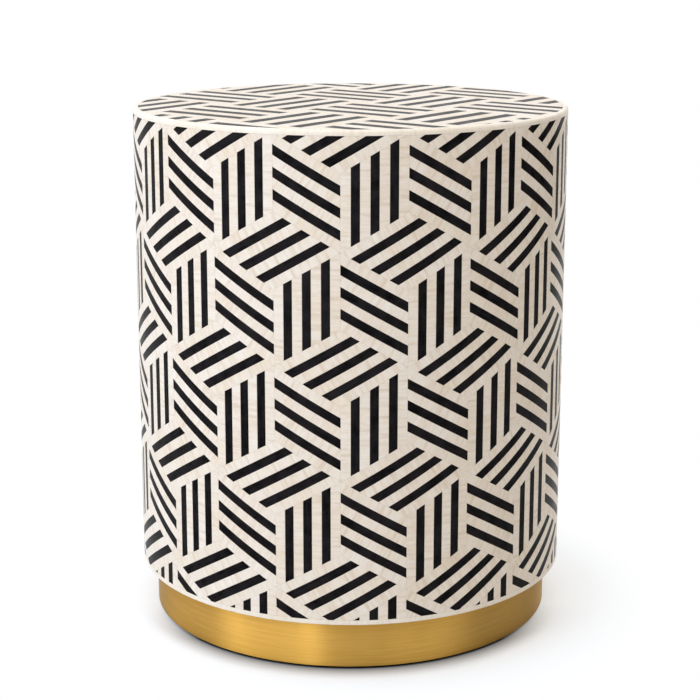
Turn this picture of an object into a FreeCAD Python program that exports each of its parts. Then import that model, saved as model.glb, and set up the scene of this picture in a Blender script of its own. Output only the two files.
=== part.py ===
"""Drum stool: a hollow plywood drum with a strip inlay skin, on a recessed brass-clad plinth.

Millimetres, +Z up. The origin is the centre of the footprint on the floor and the front faces -Y.
Angles run from the front towards +X. The wall inlay is a tumbling-block tiling of rhombic blocks in
three directions, and the seat inlay is a weave of square blocks in two. Every block is cut into
parallel strips, bone at its edges and black between.
"""
import FreeCAD, Part
import math
import os

from FreeCAD import Vector

# Overall sizes
drum_diameter = 420.0
overall_height = 500.0
plinth_height = 46.5
plinth_recess = 13.5

# Glides under the plinth
glide_height = 2.5
glide_diameter = 25.0
glide_inset = 24.0
glide_count = 6

# Brass cladding of the plinth
brass_thickness = 1.0
brass_seam_gap = 0.3

# Boards and plinth rings
base_board_thickness = 9.0
plinth_ring_width = 40.0
plinth_ring_layers = 2
bottom_board_thickness = 15.0
top_board_thickness = 18.0

# Bent plywood shell and its frame
shell_thickness = 8.0
shell_seam_gap = 0.2
batten_width = 40.0
batten_thickness = 10.0
post_count = 6
post_width = 34.0
post_depth = 22.0
post_setback = 12.0
hoop_count = 2
hoop_width = 30.0
hoop_thickness = 15.0

# Countersunk wood screws
screw_diameter = 4.5
screw_head_overhang = 2.05
screw_tip_length = 4.0
screw_point_diameter = 0.6
screw_tip_cover = 4.0
post_screw_bite = 32.0
drive_width = 0.9
drive_span = 4.2
drive_depth = 1.7

# Strip inlay
inlay_thickness = 3.0
block_count = 11
strips_per_block = 7
black_to_bone_width = 0.885
wall_pattern_turn = -18.78
wall_pattern_height = 358.7
top_block_side = 97.5
top_pattern_turn = 52.0
top_pattern_x = -65.5
top_pattern_y = 74.3
smallest_chip = 3.0

# Bone edge bands
rim_inward_lip = 2.0
rim_downward_lip = 2.0
rim_rounding = 3.0
rim_rounding_limit = 0.8
lower_band_height = 4.5
band_segment_count = 22

# Fits
joint_gap = 0.1
glue_line = 0.2
board_fit = 0.1
notch_fit = 0.2
screw_fit = 0.1

# Radii and levels that follow from the sizes above
drum_radius = drum_diameter / 2
inlay_inner = drum_radius - inlay_thickness
shell_outer = inlay_inner - glue_line
shell_inner = shell_outer - shell_thickness
plinth_outer = drum_radius - plinth_recess
plinth_core = plinth_outer - brass_thickness - board_fit
ring_inner = plinth_core - plinth_ring_width
ring_middle = plinth_core - plinth_ring_width / 2
post_circle = shell_inner - post_setback - post_depth / 2
rim_width = inlay_thickness + rim_inward_lip
rim_height = inlay_thickness + rim_downward_lip
rim_round = min(rim_rounding, rim_rounding_limit * min(rim_width, rim_height))
rim_inner = drum_radius - rim_width

plinth_bottom = glide_height
drum_bottom = plinth_bottom + plinth_height
ring_bottom = plinth_bottom + base_board_thickness
ring_thickness = (drum_bottom - ring_bottom) / plinth_ring_layers
inside_bottom = drum_bottom + bottom_board_thickness
rim_bottom = overall_height - rim_height
top_inlay_bottom = overall_height - inlay_thickness
top_board_top = top_inlay_bottom - glue_line
inside_top = top_board_top - top_board_thickness
band_top = drum_bottom + lower_band_height

block_side = 2 * math.pi * drum_radius / block_count / math.sqrt(3)
block_across = block_side * math.sin(math.radians(60))
row_pitch = 1.5 * block_side
column_pitch = 2 * block_across
black_strips = strips_per_block // 2
bone_strips = strips_per_block - black_strips
bone_share = 1 / (bone_strips + black_strips * black_to_bone_width)
black_share = black_to_bone_width * bone_share

# Directions of the three block edges that leave each block corner, in the unrolled surface
EDGES = [(math.cos(math.radians(a)), math.sin(math.radians(a))) for a in (30, 150, 270)]
# Block name, the edge its strips lie along, and the edge that its strips are counted along
BLOCKS = [("rising", EDGES[0], EDGES[1]), ("falling", EDGES[1], EDGES[2]), ("straight", EDGES[2], EDGES[0])]

ORIGIN = Vector(0, 0, 0)
UP = Vector(0, 0, 1)


def polar(radius, angle, z=0.0):
    """Point at a radius and an angle in degrees from the front towards +X."""
    turn = math.radians(angle)
    return Vector(radius * math.sin(turn), -radius * math.cos(turn), z)


def disc(radius, bottom, top):
    """Solid disc between two levels."""
    return Part.makeCylinder(radius, top - bottom, Vector(0, 0, bottom))


def ring(inner, outer, bottom, top):
    """Plain ring between two radii and two levels."""
    return disc(outer, bottom, top).cut(disc(inner, bottom, top))


def turned(shape, angle):
    """Copy of a shape turned about the drum's axis."""
    copy = shape.copy()
    copy.rotate(ORIGIN, UP, angle)
    return copy


def spread(shape, count, start=0.0):
    """Equal copies of a shape round the drum's axis."""
    return [turned(shape, start + 360.0 * i / count) for i in range(count)]


def block_on_front(width, depth, bottom, top, radius):
    """Box centred at a radius on the front, its width along X and its depth along the radius."""
    corner = Vector(-width / 2, -radius - depth / 2, bottom)
    return Part.makeBox(width, depth, top - bottom, corner)


def write(name, solids):
    """Write one node as separate solids."""
    shape = solids[0] if len(solids) == 1 else Part.makeCompound(solids)
    shape.exportStep(os.path.join("parts", name + ".step"))


def screw_body(length, fit=0.0):
    """Countersunk screw form, a fit wider all round, head face at z = 0 and the point upwards."""
    radius = screw_diameter / 2 + fit
    tip_start = length + fit - screw_tip_length
    head = Part.makeCone(radius + screw_head_overhang, radius, screw_head_overhang)
    shank = Part.makeCylinder(radius, tip_start - screw_head_overhang, Vector(0, 0, screw_head_overhang))
    tip = Part.makeCone(radius, screw_point_diameter / 2 + fit, screw_tip_length, Vector(0, 0, tip_start))
    return head.fuse([shank, tip]).removeSplitter()


def screw(length):
    """Countersunk wood screw with a cross recess."""
    body = screw_body(length)
    slots = []
    for span_x, span_y in ((drive_span, drive_width), (drive_width, drive_span)):
        slots.append(Part.makeBox(span_x, span_y, drive_depth, Vector(-span_x / 2, -span_y / 2, 0)))
    return body.cut(slots)


def placed_screw(form, radius, angle, level, downwards=False):
    """Screw form set with its head face at a level, the point up or down."""
    copy = form.copy()
    if downwards:
        copy.rotate(ORIGIN, Vector(1, 0, 0), 180)
    copy.translate(polar(radius, angle, level))
    return copy


def screw_set(length, radius, start, level, downwards=False):
    """Screws and their holes round the drum's axis, as many as there are posts."""
    angles = [start + 360.0 * i / post_count for i in range(post_count)]
    screws = [placed_screw(screw(length), radius, a, level, downwards) for a in angles]
    holes = [placed_screw(screw_body(length, screw_fit), radius, a, level, downwards) for a in angles]
    return screws, holes


def arc_segment(profile, count):
    """One of a number of equal segments swept round the axis from a profile in the XZ plane."""
    gap_angle = math.degrees(joint_gap / drum_radius)
    return profile.revolve(ORIGIN, UP, 360.0 / count - gap_angle)


def rim_profile():
    """Section of the bone rim, rounded at its outer top corner."""
    round_start = Vector(drum_radius, 0, overall_height - rim_round)
    round_end = Vector(drum_radius - rim_round, 0, overall_height)
    centre = Vector(drum_radius - rim_round, 0, overall_height - rim_round)
    middle = centre + Vector(1, 0, 1) * (rim_round / math.sqrt(2))
    inner_top = Vector(rim_inner, 0, overall_height)
    inner_bottom = Vector(rim_inner, 0, rim_bottom)
    outer_bottom = Vector(drum_radius, 0, rim_bottom)
    edges = [
        Part.makeLine(outer_bottom, round_start),
        Part.Arc(round_start, middle, round_end).toShape(),
        Part.makeLine(round_end, inner_top),
        Part.makeLine(inner_top, inner_bottom),
        Part.makeLine(inner_bottom, outer_bottom),
    ]
    return Part.Face(Part.Wire(edges))


def lower_band_profile():
    """Section of the bone band along the wall's lower edge."""
    corners = [
        Vector(inlay_inner, 0, drum_bottom),
        Vector(drum_radius, 0, drum_bottom),
        Vector(drum_radius, 0, band_top),
        Vector(inlay_inner, 0, band_top),
    ]
    return Part.Face(Part.makePolygon(corners + corners[:1]))


def strip_spans():
    """Bone or black, with the start and end of each strip as shares of a block's side."""
    spans = []
    reached = 0.0
    for i in range(strips_per_block):
        kind = "black" if i % 2 else "bone"
        share = black_share if kind == "black" else bone_share
        spans.append((kind, reached, reached + share))
        reached += share
    return spans


def block_strips(corner, along, across, side, inset):
    """Strips of one block, as (kind, four unrolled corners)."""
    strips = []
    for kind, start, end in strip_spans():
        shares = [(inset, start + inset), (1 - inset, start + inset)]
        shares += [(1 - inset, end - inset), (inset, end - inset)]
        corners = []
        for a, b in shares:
            u = corner[0] + side * (a * along[0] + b * across[0])
            v = corner[1] + side * (a * along[1] + b * across[1])
            corners.append((u, v))
        strips.append((kind, corners))
    return strips


def rhombic_strips(corner):
    """Strips of the three blocks round one corner of the tiling, as (kind, direction, four corners)."""
    inset = joint_gap / 2 / block_across
    strips = []
    for direction, along, across in BLOCKS:
        for kind, corners in block_strips(corner, along, across, block_side, inset):
            strips.append((kind, direction, corners))
    return strips


def woven_strips(column, row):
    """Strips of one square block of the weave, as (kind, direction, four corners)."""
    inset = joint_gap / 2 / top_block_side
    corner = (top_block_side * column, top_block_side * row)
    direction, along, across = "rising", (1, 0), (0, 1)
    if (column + row) % 2:
        corner = (corner[0] + top_block_side, corner[1])
        direction, along, across = "falling", (0, 1), (-1, 0)
    strips = block_strips(corner, along, across, top_block_side, inset)
    return [(kind, direction, corners) for kind, corners in strips]


def corner_rows(low, high, row_origin):
    """Rows of block corners that reach into a span, as (level, sideways shift)."""
    first = math.floor((low - row_origin - block_side) / row_pitch)
    last = math.ceil((high - row_origin + block_side) / row_pitch)
    return [(row_origin + row_pitch * row, column_pitch / 2 * (row % 2)) for row in range(first, last + 1)]


def closed_solid(bottom, top):
    """Solid with flat faces between two rings of four corners."""
    faces = [bottom, top]
    for i in range(4):
        j = (i + 1) % 4
        faces.append([bottom[i], bottom[j], top[j], top[i]])
    shell = Part.Shell([Part.Face(Part.makePolygon(f + f[:1])) for f in faces])
    solid = Part.Solid(shell)
    if solid.Volume < 0:
        solid.reverse()
    return solid


def wall_cutter(corners):
    """Wedge through the wall whose four flat sides follow a strip's edges."""
    angles = [wall_pattern_turn + math.degrees(u / drum_radius) for u, v in corners]
    points = [polar(drum_radius, a, v) for a, (u, v) in zip(angles, corners)]
    normals = []
    for i in range(4):
        j = (i + 1) % 4
        outward = polar(1, (angles[i] + angles[j]) / 2)
        normals.append(outward.cross(points[j] - points[i]))
    facing = polar(1, sum(angles) / 4)
    half_turn = math.radians(max(angles) - min(angles)) / 2
    inside = inlay_inner * math.cos(half_turn) - inlay_thickness
    outside = drum_radius + inlay_thickness
    rings = []
    for reach in (inside, outside):
        corner_ring = []
        for i in range(4):
            line = normals[i - 1].cross(normals[i])
            step = (reach - facing.dot(points[i])) / facing.dot(line)
            corner_ring.append(points[i] + line * step)
        rings.append(corner_ring)
    return closed_solid(*rings)


def kept_solids(shape):
    """Solids of a trimmed strip that are large enough to be set as a piece."""
    return [s for s in shape.Solids if s.Volume > smallest_chip]


def wall_strips():
    """All wall strips, as a dictionary from (kind, direction) to solids."""
    low = band_top + joint_gap
    high = rim_bottom - joint_gap
    wall = ring(inlay_inner, drum_radius, low, high)
    groups = {}
    for level, shift in corner_rows(low, high, wall_pattern_height):
        for kind, direction, corners in rhombic_strips((shift, level)):
            heights = [v for u, v in corners]
            if max(heights) <= low or min(heights) >= high:
                continue
            for solid in kept_solids(wall_cutter(corners).common(wall)):
                groups.setdefault((kind, direction), []).extend(spread(solid, block_count))
    return groups


def top_outline(corners):
    """Corners of a seat strip, turned and moved to their place on the seat."""
    turn = math.radians(top_pattern_turn)
    outline = []
    for u, v in corners:
        x = top_pattern_x + u * math.cos(turn) - v * math.sin(turn)
        y = top_pattern_y + u * math.sin(turn) + v * math.cos(turn)
        outline.append(Vector(x, y, top_inlay_bottom))
    return outline


def top_strips():
    """All strips of the seat top, as a dictionary from (kind, direction) to solids."""
    radius = rim_inner - joint_gap
    field = disc(radius, top_inlay_bottom, overall_height)
    span = radius + math.hypot(top_pattern_x, top_pattern_y)
    blocks = math.ceil(span / top_block_side)
    groups = {}
    for row in range(-blocks, blocks):
        for column in range(-blocks, blocks):
            for kind, direction, corners in woven_strips(column, row):
                outline = top_outline(corners)
                reach = [math.hypot(p.x, p.y) for p in outline]
                if min(reach) > radius + top_block_side:
                    continue
                strip = Part.Face(Part.makePolygon(outline + outline[:1])).extrude(UP * inlay_thickness)
                if max(reach) > radius:
                    strip = strip.common(field)
                groups.setdefault((kind, direction), []).extend(kept_solids(strip))
    return groups


def build_plinth():
    """Glides, base board, core rings, their screws and the brass band."""
    pad = Part.makeCylinder(glide_diameter / 2, glide_height, polar(plinth_core - glide_inset, 0))
    write("glide_pads", spread(pad, glide_count, 180.0 / glide_count))

    base_length = base_board_thickness + ring_thickness - screw_tip_cover
    base_screws, base_holes = screw_set(base_length, ring_middle, 0, plinth_bottom)
    write("base_board", [disc(plinth_core, plinth_bottom, ring_bottom).cut(base_holes)])
    write("base_screws", base_screws)

    core_length = drum_bottom - ring_bottom + bottom_board_thickness - screw_tip_cover
    between_posts = 180.0 / post_count
    plinth_screws, plinth_holes = screw_set(core_length, ring_middle, between_posts, ring_bottom)
    for layer in range(plinth_ring_layers):
        low = ring_bottom + layer * ring_thickness
        body = ring(ring_inner, plinth_core, low, low + ring_thickness)
        write(f"plinth_ring_{layer + 1}", [body.cut(base_holes + plinth_holes)])
    write("plinth_screws", plinth_screws)

    band = ring(plinth_outer - brass_thickness, plinth_outer, plinth_bottom, drum_bottom)
    seam = block_on_front(brass_seam_gap, plinth_recess, plinth_bottom, drum_bottom, plinth_outer)
    write("brass_band", [band.cut(turned(seam, 180))])
    return plinth_holes


def build_drum(plinth_holes):
    """Boards, posts, hoops, seam battens and the two halves of the shell."""
    floor_length = bottom_board_thickness + post_screw_bite
    floor_screws, floor_holes = screw_set(floor_length, post_circle, 0, drum_bottom)
    board = disc(shell_inner - board_fit, drum_bottom, inside_bottom)
    write("bottom_board", [board.cut(plinth_holes + floor_holes)])
    write("floor_screws", floor_screws)

    seat_length = top_board_thickness + post_screw_bite
    seat_screws, seat_holes = screw_set(seat_length, post_circle, 0, top_board_top, True)
    rebate = ring(rim_inner - glue_line, drum_radius, rim_bottom - glue_line, overall_height)
    write("top_board", [disc(shell_outer, inside_top, top_board_top).cut([rebate] + seat_holes)])
    write("seat_screws", seat_screws)

    post = block_on_front(post_width, post_depth, inside_bottom, inside_top, post_circle)
    for i, solid in enumerate(spread(post, post_count)):
        write(f"post_{i + 1}", [solid.cut(floor_holes + seat_holes)])

    batten_field = ring(shell_inner - batten_thickness, shell_inner - board_fit, inside_bottom, inside_top)
    batten_box = block_on_front(batten_width, drum_radius, inside_bottom, inside_top, shell_inner)
    batten = batten_field.common(batten_box)
    for name, angle in (("right", 90), ("left", -90)):
        write(f"seam_batten_{name}", [turned(batten, angle)])

    hoop_step = (inside_top - inside_bottom) / (hoop_count + 1)
    post_notch = block_on_front(
        post_width + 2 * notch_fit, post_depth + 2 * notch_fit, inside_bottom, inside_top, post_circle
    )
    batten_reach = 2 * (batten_thickness + notch_fit)
    batten_notch = block_on_front(
        batten_width + 2 * notch_fit, batten_reach, inside_bottom, inside_top, shell_inner
    )
    notches = spread(post_notch, post_count) + spread(batten_notch, 2, 90)
    for i in range(hoop_count):
        low = inside_bottom + hoop_step * (i + 1) - hoop_thickness / 2
        hoop = ring(shell_inner - hoop_width, shell_inner - board_fit, low, low + hoop_thickness)
        write(f"hoop_{i + 1}", [hoop.cut(notches)])

    shell = ring(shell_inner, shell_outer, drum_bottom, inside_top)
    for name, side in (("front", 0), ("back", 180)):
        reach = drum_radius - shell_seam_gap / 2
        half = block_on_front(drum_diameter, reach, drum_bottom, inside_top, drum_radius - reach / 2)
        write(f"shell_{name}", [shell.common(turned(half, side))])


def build_skin():
    """Bone bands and the strip inlay of the wall and the seat top."""
    half_gap = math.degrees(joint_gap / drum_radius) / 2
    for name, profile in (("rim_segments", rim_profile()), ("lower_band_segments", lower_band_profile())):
        write(name, spread(arc_segment(profile, band_segment_count), band_segment_count, half_gap))
    for place, groups in (("wall", wall_strips()), ("top", top_strips())):
        for (kind, direction), solids in groups.items():
            write(f"{place}_{kind}_{direction}", solids)


os.makedirs("parts", exist_ok=True)
build_drum(build_plinth())
build_skin()
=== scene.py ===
"""Drum stool: the looks of a bone and black strip inlay drum on a brushed brass plinth.

Metres, +Z up, front towards -Y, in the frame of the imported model. The strips of the inlay, the bone
edge bands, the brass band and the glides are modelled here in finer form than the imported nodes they
stand for. The wooden frame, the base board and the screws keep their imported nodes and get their
finishes here.
"""

import logging
import math
from collections.abc import Callable, Iterable, Sequence
from dataclasses import dataclass, field
from enum import Enum
from typing import Any, ClassVar

import bmesh
import bpy
from mathutils import Matrix, Vector


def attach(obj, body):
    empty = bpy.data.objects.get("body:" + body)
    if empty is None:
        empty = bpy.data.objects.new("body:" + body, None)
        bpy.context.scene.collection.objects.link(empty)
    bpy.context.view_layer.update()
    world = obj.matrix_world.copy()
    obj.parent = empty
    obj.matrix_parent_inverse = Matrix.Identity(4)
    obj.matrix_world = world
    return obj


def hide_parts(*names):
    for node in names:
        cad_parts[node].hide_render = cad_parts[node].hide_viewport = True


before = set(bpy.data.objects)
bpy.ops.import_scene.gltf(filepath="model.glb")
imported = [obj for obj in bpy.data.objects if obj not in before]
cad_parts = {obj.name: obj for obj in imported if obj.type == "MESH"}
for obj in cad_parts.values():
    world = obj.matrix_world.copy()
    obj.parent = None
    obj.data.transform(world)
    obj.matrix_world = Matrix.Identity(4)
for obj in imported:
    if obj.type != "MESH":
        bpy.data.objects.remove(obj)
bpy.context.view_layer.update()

LOG = logging.getLogger("drum_stool")
BODY = "root"
MM = 0.001
MERGE_DISTANCE = MM / 1000
STRIP_MAP = "strip"
STRIP_TONE = "strip_tone"
COPY_TONE = "copy_tone"
ISLAND_SALT = 5
COPY_SALT = 0
SHARP_ANGLE = math.radians(20)
FLOAT, VECTOR, INTEGER = "NodeSocketFloat", "NodeSocketVector", "NodeSocketInt"
GEOMETRY, MATERIAL, SWITCH = "NodeSocketGeometry", "NodeSocketMaterial", "NodeSocketBool"

Colour = tuple[float, float, float, float]
Pair = tuple[float, float]
Form = bmesh.types.BMesh
Material = bpy.types.Material
Piece = bpy.types.Object
Socket = bpy.types.NodeSocket
Tree = bpy.types.NodeTree
WHITE: Colour = (1.0, 1.0, 1.0, 1.0)
BLACK: Colour = (0.0, 0.0, 0.0, 1.0)


def srgb(red: int, green: int, blue: int) -> Colour:
    """Linear colour of an sRGB colour.

    Args:
        red, green, blue: its channels, in steps from 0 to 255.
    Returns:
        The colour as the shader's sockets take it.
    """
    def linear(step: int) -> float:
        """Linear share of one channel."""
        share = step / 255
        return share / 12.92 if share <= 0.04045 else ((share + 0.055) / 1.055) ** 2.4
    return (linear(red), linear(green), linear(blue), 1.0)


def polar(radius: float, angle: float, z: float = 0.0) -> Vector:
    """Point at a radius and an angle in radians from the front towards +X."""
    return Vector((radius * math.sin(angle), -radius * math.cos(angle), z))


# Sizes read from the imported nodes

class Corner(Enum):
    """Outer corner of a section, with the angle in degrees where its round starts."""
    LOWER = -90.0
    UPPER = 0.0


@dataclass(frozen=True)
class RingSpan:
    """Radii and levels that a round node fills."""
    inner: float
    outer: float
    bottom: float
    top: float

    @classmethod
    def of(cls, *nodes: str) -> "RingSpan":
        """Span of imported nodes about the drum's axis.

        Args:
            nodes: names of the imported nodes.
        Returns:
            The radii and levels that their vertices reach.
        """
        points = [v.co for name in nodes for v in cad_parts[name].data.vertices]
        radii = [math.hypot(p.x, p.y) for p in points]
        levels = [p.z for p in points]
        return cls(min(radii), max(radii), min(levels), max(levels))

    def corner(self, place: Corner, size: float, steps: int) -> list[Pair]:
        """An outer corner of the section.

        Args:
            place: which of the two corners.
            size: size of its quarter round, or 0 for a sharp corner.
            steps: how many steps the round takes.
        Returns:
            Radius and level of each point.
        """
        level = self.bottom + size if place is Corner.LOWER else self.top - size
        if size == 0.0:
            return [(self.outer, level)]
        angles = [math.radians(place.value + 90.0 * i / steps) for i in range(steps + 1)]
        return [(self.outer - size + size * math.cos(a), level + size * math.sin(a)) for a in angles]

    def section(self, steps: int, lower: float = 0.0, upper: float = 0.0) -> list[Pair]:
        """Section of the span, anticlockwise with the radius to the right.

        Args:
            steps: how many steps a round takes.
            lower: size of the round at the lower outer corner.
            upper: size of the round at the upper outer corner.
        Returns:
            Radius and level of each point.
        """
        low = self.corner(Corner.LOWER, lower, steps)
        high = self.corner(Corner.UPPER, upper, steps)
        return [*low, *high, (self.inner, self.top), (self.inner, self.bottom)]


# Node trees

class Wiring:
    """Adds nodes to one tree and links them."""

    def __init__(self, tree: Tree) -> None:
        """Start on a tree, whose own nodes are cleared."""
        self.tree = tree
        tree.nodes.clear()

    def node(self, kind: str, inputs: dict[str | int, Any] | None = None, **settings: Any) -> bpy.types.Node:
        """Add one node.

        Args:
            kind: Blender's name for the node type.
            inputs: values or sockets for its inputs, by name or number.
            settings: properties of the node.
        Returns:
            The node.
        """
        made = self.tree.nodes.new(kind)
        for name, value in settings.items():
            setattr(made, name, value)
        for key, value in (inputs or {}).items():
            self.feed(self.open_input(made, key), value)
        return made

    @staticmethod
    def open_input(node: bpy.types.Node, key: str | int) -> Socket:
        """Input of a node.

        Args:
            node: the node.
            key: the input's number, or the name of an enabled one.
        Returns:
            The input's socket.
        """
        if isinstance(key, int):
            return node.inputs[key]
        return next(s for s in node.inputs if s.name == key and s.enabled)

    def feed(self, socket: Socket, value: Any) -> None:
        """Link a socket to an output, or set it to a value.

        Args:
            socket: the socket.
            value: an output, or a plain value.
        """
        if isinstance(value, bpy.types.NodeSocket):
            self.tree.links.new(value, socket)
        else:
            socket.default_value = value

    def math(self, operation: str, *values: Any) -> Socket:
        """Output of a math node on values or sockets."""
        return self.node("ShaderNodeMath", dict(enumerate(values)), operation=operation).outputs[0]

    def vector(self, operation: str, a: Any, b: Any) -> Socket:
        """Output of a vector math node on two vectors."""
        return self.node("ShaderNodeVectorMath", {0: a, 1: b}, operation=operation).outputs[0]

    def spread(self, value: Any, low: Any, high: Any, start: float = 0.0, end: float = 1.0) -> Socket:
        """Value moved from one range to another and held there."""
        inputs = {"Value": value, "From Min": low, "From Max": high, "To Min": start, "To Max": end}
        return self.node("ShaderNodeMapRange", inputs, clamp=True).outputs[0]

    def mix(self, share: Any, a: Any, b: Any, blend: str = "MIX") -> Socket:
        """Colour between two colours by a share."""
        node = self.node("ShaderNodeMix", {0: share, 6: a, 7: b}, data_type="RGBA", blend_type=blend)
        return node.outputs[2]

    def parts(self, vector: Socket) -> tuple[Socket, Socket, Socket]:
        """The three numbers of a vector."""
        node = self.node("ShaderNodeSeparateXYZ", {0: vector})
        return node.outputs[0], node.outputs[1], node.outputs[2]

    def join(self, x: Any, y: Any, z: Any = 0.0) -> Socket:
        """Vector of three numbers."""
        return self.node("ShaderNodeCombineXYZ", {0: x, 1: y, 2: z}).outputs[0]


class GroupTree:
    """A node group with named inputs and one named output."""

    def __init__(
        self, name: str, kind: str, inputs: dict[str, tuple[str, Any]], output: tuple[str, str]
    ) -> None:
        """Make the group and its sockets.

        Args:
            name: the group's name.
            kind: ShaderNodeTree or GeometryNodeTree.
            inputs: socket type and starting value by input name.
            output: name and socket type of its output.
        """
        self.tree = bpy.data.node_groups.new(name, kind)
        for label, (socket_type, start) in inputs.items():
            socket = self.tree.interface.new_socket(label, in_out="INPUT", socket_type=socket_type)
            if start is not None:
                socket.default_value = start
        self.tree.interface.new_socket(output[0], in_out="OUTPUT", socket_type=output[1])
        self.wiring = Wiring(self.tree)
        self.inside = self.wiring.node("NodeGroupInput").outputs
        self.result = self.wiring.node("NodeGroupOutput").inputs[0]


class CopyRecipe:
    """Geometry Nodes tree that sets a piece in equal copies round the drum's axis."""

    def __init__(self, name: str = "ring_of_copies", **inputs: tuple[str, Any]) -> None:
        """Build the tree.

        Args:
            name: the tree's name.
            inputs: socket type and starting value of further inputs by name, with _ for a space.
        """
        sockets = {"Geometry": (GEOMETRY, None)}
        sockets |= {label.replace("_", " "): socket for label, socket in inputs.items()}
        sockets |= {"Copies": (INTEGER, 1), "Seed": (INTEGER, 0), "Finish": (MATERIAL, None)}
        self.group = GroupTree(name, "GeometryNodeTree", sockets, ("Geometry", GEOMETRY))
        self.finish(self.body(self.group.inside["Geometry"]))

    def body(self, geometry: Socket) -> Socket:
        """Form of one copy, which is the mesh as it comes."""
        return self.toned(geometry)

    def stored(self, geometry: Socket, name: str, identity: Socket, salt: int, domain: str) -> Socket:
        """Geometry that keeps a random share for each identity.

        Args:
            geometry: the geometry.
            name: the attribute that keeps the shares.
            identity: what gets a share of its own.
            salt: number added to the tree's seed.
            domain: where the attribute lies.
        Returns:
            The geometry with the attribute.
        """
        wiring = self.group.wiring
        seed = wiring.math("ADD", self.group.inside["Seed"], salt)
        random = wiring.node("FunctionNodeRandomValue", {"ID": identity, "Seed": seed}, data_type="FLOAT")
        value = next(s for s in random.outputs if s.enabled)
        inputs = {"Geometry": geometry, "Name": name, "Value": value}
        node = wiring.node("GeometryNodeStoreNamedAttribute", inputs, data_type="FLOAT", domain=domain)
        return node.outputs[0]

    def toned(self, geometry: Socket) -> Socket:
        """Geometry with a random tone on each of its loose pieces."""
        island = self.group.wiring.node("GeometryNodeInputMeshIsland").outputs["Island Index"]
        return self.stored(geometry, STRIP_TONE, island, ISLAND_SALT, "POINT")

    def finish(self, geometry: Socket) -> None:
        """Set the copies round the axis, make them real and give them their finish.

        Args:
            geometry: the form of one copy.
        """
        wiring, inside = self.group.wiring, self.group.inside
        index = wiring.node("GeometryNodeInputIndex").outputs[0]
        points = wiring.node("GeometryNodePoints", {"Count": inside["Copies"]}).outputs[0]
        step = wiring.math("DIVIDE", math.tau, inside["Copies"])
        turn = wiring.join(0.0, 0.0, wiring.math("MULTIPLY", index, step))
        rotation = wiring.node("FunctionNodeEulerToRotation", {0: turn}).outputs[0]
        inputs = {"Points": points, "Instance": geometry, "Rotation": rotation}
        copies = wiring.node("GeometryNodeInstanceOnPoints", inputs).outputs[0]
        copies = self.stored(copies, COPY_TONE, index, COPY_SALT, "INSTANCE")
        real = wiring.node("GeometryNodeRealizeInstances", {"Geometry": copies}).outputs[0]
        dressed = wiring.node("GeometryNodeSetMaterial", {"Geometry": real, "Material": inside["Finish"]})
        wiring.feed(self.group.result, dressed.outputs[0])

    def apply(self, piece: Piece, **values: Any) -> None:
        """Run the tree on an object and keep the result as its plain mesh.

        Args:
            piece: the object, whose mesh is replaced.
            values: the tree's inputs by name, with _ for a space.
        """
        modifier = piece.modifiers.new(self.group.tree.name, "NODES")
        modifier.node_group = self.group.tree
        wanted = {name.replace("_", " "): value for name, value in values.items()}
        for item in self.group.tree.interface.items_tree:
            if item.in_out == "INPUT" and item.name in wanted:
                modifier[item.identifier] = wanted[item.name]
        graph = bpy.context.evaluated_depsgraph_get()
        made = bpy.data.meshes.new_from_object(
            piece.evaluated_get(graph), preserve_all_data_layers=True, depsgraph=graph
        )
        piece.modifiers.clear()
        flat, piece.data = piece.data, made
        bpy.data.meshes.remove(flat)
        made.name = piece.name
        made.set_sharp_from_angle(angle=SHARP_ANGLE)


class InlayRecipe(CopyRecipe):
    """Tree that thickens a flat sheet of strips and lays it on the wall or on the seat."""

    def __init__(self) -> None:
        """Build the tree with the inputs that place a sheet."""
        number = (FLOAT, 0.0)
        super().__init__("strip_inlay", On_Wall=(SWITCH, False), Face=number, Thickness=number, Turn=number)

    def body(self, geometry: Socket) -> Socket:
        """Strips with their sides and backs, on the face they cover.

        Args:
            geometry: the flat sheet of strips.
        Returns:
            The thick strips in place.
        """
        wiring = self.group.wiring
        sheet = self.toned(geometry)
        depth = wiring.math("MULTIPLY", self.group.inside["Thickness"], -1.0)
        upright = {"Offset": (0.0, 0.0, 1.0), "Offset Scale": depth, "Individual": False}
        extruded = wiring.node("GeometryNodeExtrudeMesh", {"Mesh": sheet, **upright})
        x, y, z = wiring.parts(wiring.node("GeometryNodeInputPosition").outputs[0])
        back = wiring.node("GeometryNodeSetPosition", {
            "Geometry": extruded.outputs["Mesh"],
            "Selection": extruded.outputs["Top"],
            "Position": wiring.join(x, y, depth),
        }).outputs[0]
        back = wiring.node("GeometryNodeFlipFaces", {"Mesh": back}).outputs[0]
        joined = wiring.node("GeometryNodeJoinGeometry")
        for half in (sheet, back):
            wiring.feed(joined.inputs[0], half)
        inputs = {"Geometry": joined.outputs[0], "Distance": MERGE_DISTANCE}
        closed = wiring.node("GeometryNodeMergeByDistance", inputs)
        return self.laid(closed.outputs[0], x, y, z)

    def laid(self, strips: Socket, x: Socket, y: Socket, z: Socket) -> Socket:
        """Strips bent round the wall, or lifted to the seat's level.

        Args:
            strips: the thick strips, still flat, with their faces at level 0.
            x, y, z: numbers of the position field.
        Returns:
            The strips in place.
        """
        wiring, inside = self.group.wiring, self.group.inside
        reach = wiring.math("ADD", inside["Face"], z)
        angle = wiring.math("ADD", inside["Turn"], wiring.math("DIVIDE", x, inside["Face"]))
        side = wiring.math("MULTIPLY", reach, wiring.math("SINE", angle))
        ahead = wiring.math("MULTIPLY", reach, wiring.math("COSINE", angle))
        bent = wiring.join(side, wiring.math("MULTIPLY", ahead, -1.0), y)
        inputs = {"Switch": inside["On Wall"], "False": wiring.join(x, y, reach), "True": bent}
        place = wiring.node("GeometryNodeSwitch", inputs, input_type="VECTOR").outputs[0]
        return wiring.node("GeometryNodeSetPosition", {"Geometry": strips, "Position": place}).outputs[0]


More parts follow.
